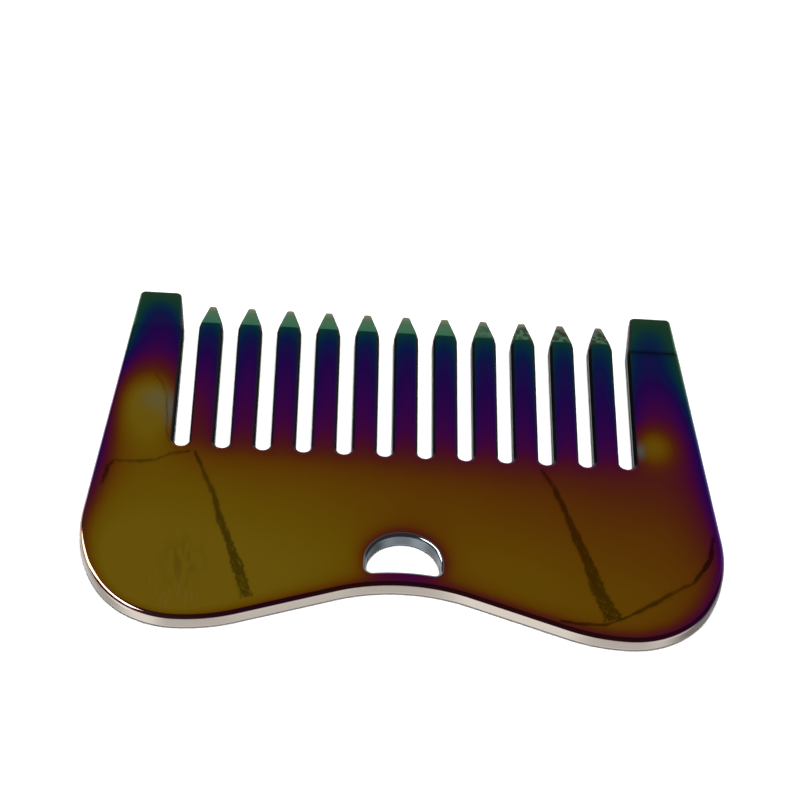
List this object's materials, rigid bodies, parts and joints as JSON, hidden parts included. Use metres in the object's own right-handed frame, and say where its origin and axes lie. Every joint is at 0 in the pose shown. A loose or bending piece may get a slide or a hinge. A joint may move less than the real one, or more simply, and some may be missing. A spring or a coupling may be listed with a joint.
{
  "type": "beard comb",
  "caption": "Flat one-piece metal beard comb with pointed teeth between two broad guards, lobed ends, an arched waist and a half-moon hole.",
  "frame": {"origin": "middle of the box around the comb, on the flat back face that it lies on", "axes": "+X along the comb's length, +Y towards the tooth tips, +Z out of the front face"},
  "size_m": [0.0968, 0.0692, 0.0025],
  "materials": {
    "comb": "polished metal with a rainbow interference coating: olive gold on the body, through brown, magenta, violet and blue to green at the tips"
  },
  "bodies": {
    "root": {"comb": "comb"}
  },
  "joints": []
}
